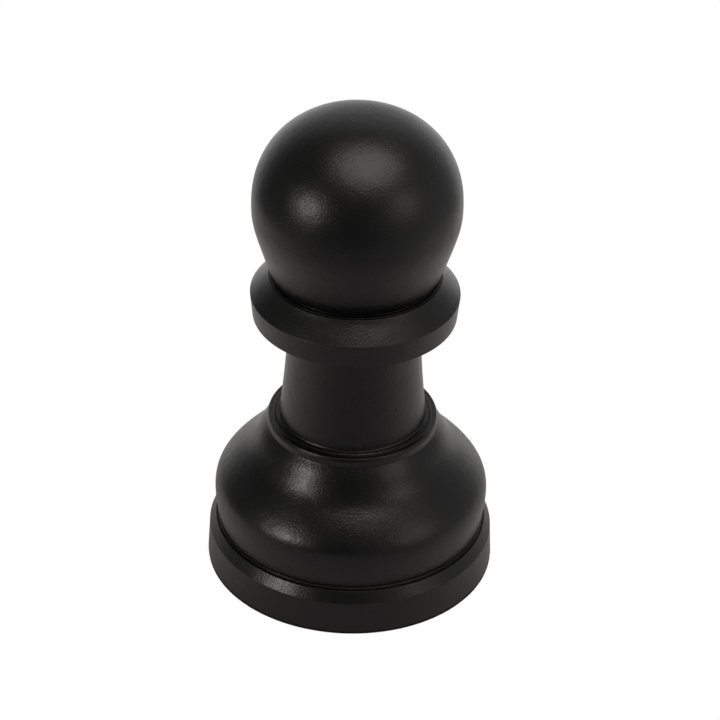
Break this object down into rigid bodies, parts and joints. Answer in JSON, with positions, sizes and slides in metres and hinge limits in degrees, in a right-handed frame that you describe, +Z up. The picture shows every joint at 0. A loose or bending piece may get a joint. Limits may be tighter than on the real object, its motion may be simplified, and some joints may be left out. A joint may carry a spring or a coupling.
{
  "type": "chess pawn",
  "caption": "Large turned chess pawn with a flattened ball head, coned collar, hollow-sided stem, swelling base, wide plinth and felt pad.",
  "frame": {"origin": "centre of the underside of the felt pad, on the surface that the pawn stands on", "axes": "+Z up along the turning axis, from the felt pad to the top of the head; X and Y are alike, because every outer surface is a surface of revolution"},
  "size_m": [0.1152, 0.1152, 0.2],
  "materials": {
    "black_lacquer": "satin black lacquer with a fine orange peel, sprayed over turned beech",
    "beech": "bare fluted beech",
    "plated_steel": "bright zinc plating with a faint yellow tint",
    "raw_steel": "sawn mild steel with a thin brown oxide",
    "hardboard": "pressed brown hardboard",
    "black_felt": "thin black wool felt with short loose fibres"
  },
  "bodies": {
    "root": {"head": "black_lacquer", "collar": "black_lacquer", "stem": "black_lacquer", "bun": "black_lacquer", "plinth": "black_lacquer", "head_dowel": "beech", "stem_dowel": "beech", "plinth_screws": "plated_steel", "weight": "raw_steel", "weight_cover": "hardboard", "felt_pad": "black_felt"}
  },
  "joints": []
}
